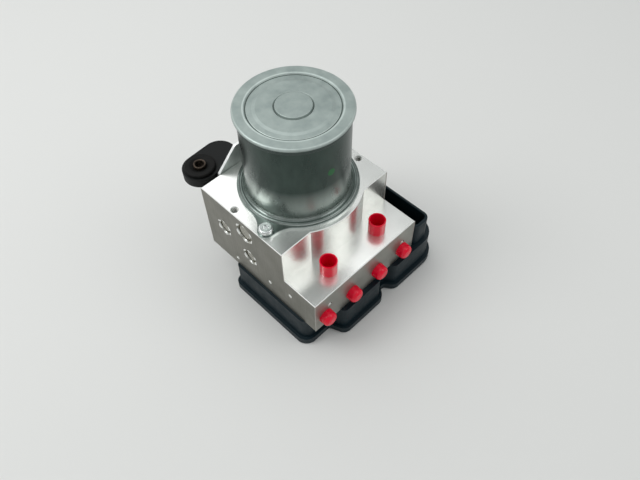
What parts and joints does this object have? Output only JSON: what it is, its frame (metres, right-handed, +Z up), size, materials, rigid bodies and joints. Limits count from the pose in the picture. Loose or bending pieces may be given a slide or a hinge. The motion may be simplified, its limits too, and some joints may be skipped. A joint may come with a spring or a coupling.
{
  "type": "brake pressure control unit",
  "caption": "Hydraulic anti-lock brake unit: stepped aluminium valve block, round pump motor, plastic control box below, plugged ports and a rubber mount.",
  "frame": {"origin": "on the motor's axis, on the face that the unit stands on", "axes": "+Z up the motor's axis, -Y towards the wheel ports, +X towards the electrical socket"},
  "size_m": [0.1345, 0.1473, 0.1576],
  "materials": {
    "machined_aluminium": "machined, bright satin",
    "closure_steel": "turned and staked",
    "coated_steel_can": "dark grey-green coating, satin",
    "coated_steel_lid": "light grey-green coating, satin",
    "screw_steel": "zinc plated",
    "red_plug_plastic": "moulded, semi-gloss",
    "black_plastic": "moulded, fine satin",
    "zinc_steel": "zinc plated sheet",
    "arm_plastic": "moulded, matt",
    "black_rubber": "moulded rubber",
    "spring_steel": "drawn wire",
    "ground_steel": "ground",
    "valve_steel": "turned",
    "core_steel": "stacked laminations",
    "copper": "enamelled copper wire",
    "ferrite": "sintered ferrite",
    "carbon": "pressed carbon",
    "moulding_plastic": "moulded",
    "contact_brass": "tinned brass",
    "board_plastic": "glass-fibre board",
    "piston_aluminium": "anodised"
  },
  "bodies": {
    "unit": {"accumulator_caps": "closure_steel", "accumulator_spring_left": "spring_steel", "accumulator_spring_right": "spring_steel", "ball_plugs": "closure_steel", "bore_closures": "closure_steel", "box_cover": "black_plastic", "box_screws": "screw_steel", "box_seal": "black_rubber", "bracket_plate": "zinc_steel", "bracket_screws": "screw_steel", "brush_front": "carbon", "brush_plate": "moulding_plastic", "brush_rear": "carbon", "circuit_board": "board_plastic", "control_box": "black_plastic", "inlet_coils": "copper", "inlet_valve_1": "valve_steel", "inlet_valve_2": "valve_steel", "inlet_valve_3": "valve_steel", "inlet_valve_4": "valve_steel", "lower_bearing": "ground_steel", "magnets": "ferrite", "motor_can": "coated_steel_can", "motor_contacts": "contact_brass", "motor_lid": "coated_steel_lid", "motor_screws": "screw_steel", "mount_arm": "arm_plastic", "mount_rubber": "black_rubber", "mount_tube": "zinc_steel", "outlet_coils": "copper", "outlet_valve_1": "valve_steel", "outlet_valve_2": "valve_steel", "outlet_valve_3": "valve_steel", "outlet_valve_4": "valve_steel", "pump_sleeve_left": "ground_steel", "pump_sleeve_right": "ground_steel", "socket_blades": "contact_brass", "upper_bearing": "ground_steel", "valve_block": "machined_aluminium"},
    "rotor": {"motor_shaft": "ground_steel", "cam_ring": "ground_steel", "rotor_core": "core_steel", "rotor_winding": "copper", "commutator": "copper"},
    "pump_piston_left": {"pump_piston_left": "ground_steel", "pump_spring_left": "spring_steel"},
    "pump_piston_right": {"pump_piston_right": "ground_steel", "pump_spring_right": "spring_steel"},
    "accumulator_piston_left": {"accumulator_piston_left": "piston_aluminium", "accumulator_seal_left": "black_rubber"},
    "accumulator_piston_right": {"accumulator_piston_right": "piston_aluminium", "accumulator_seal_right": "black_rubber"},
    "master_plug_1": {"master_plug_1": "red_plug_plastic"},
    "master_plug_2": {"master_plug_2": "red_plug_plastic"},
    "wheel_plug_1": {"wheel_plug_1": "red_plug_plastic"},
    "wheel_plug_2": {"wheel_plug_2": "red_plug_plastic"},
    "wheel_plug_3": {"wheel_plug_3": "red_plug_plastic"},
    "wheel_plug_4": {"wheel_plug_4": "red_plug_plastic"}
  },
  "joints": [
    {"name": "rotor_spin", "type": "hinge", "parent": "unit", "child": "rotor", "pos_m": [0, 0, 0.077], "axis": [0, 0, 1], "continuous": true},
    {"name": "pump_stroke_left", "type": "slide", "parent": "unit", "child": "pump_piston_left", "axis": [-1, 0, 0], "range_m": [0, 0.002], "stiffness_N_per_m": 400, "springref_m": -0.001},
    {"name": "pump_stroke_right", "type": "slide", "parent": "unit", "child": "pump_piston_right", "axis": [1, 0, 0], "range_m": [0, 0.002], "stiffness_N_per_m": 400, "springref_m": -0.001},
    {"name": "accumulator_stroke_left", "type": "slide", "parent": "unit", "child": "accumulator_piston_left", "axis": [0, 0, -1], "range_m": [0, 0.008], "stiffness_N_per_m": 400, "springref_m": -0.002, "deforming": ["accumulator_spring_left"]},
    {"name": "accumulator_stroke_right", "type": "slide", "parent": "unit", "child": "accumulator_piston_right", "axis": [0, 0, -1], "range_m": [0, 0.008], "stiffness_N_per_m": 400, "springref_m": -0.002, "deforming": ["accumulator_spring_right"]},
    {"name": "master_plug_1_pull", "type": "slide", "parent": "unit", "child": "master_plug_1", "axis": [0, 0, 1], "range_m": [0, 0.012]},
    {"name": "master_plug_2_pull", "type": "slide", "parent": "unit", "child": "master_plug_2", "axis": [0, 0, 1], "range_m": [0, 0.012]},
    {"name": "wheel_plug_1_pull", "type": "slide", "parent": "unit", "child": "wheel_plug_1", "axis": [0, -1, 0], "range_m": [0, 0.012]},
    {"name": "wheel_plug_2_pull", "type": "slide", "parent": "unit", "child": "wheel_plug_2", "axis": [0, -1, 0], "range_m": [0, 0.012]},
    {"name": "wheel_plug_3_pull", "type": "slide", "parent": "unit", "child": "wheel_plug_3", "axis": [0, -1, 0], "range_m": [0, 0.012]},
    {"name": "wheel_plug_4_pull", "type": "slide", "parent": "unit", "child": "wheel_plug_4", "axis": [0, -1, 0], "range_m": [0, 0.012]}
  ]
}
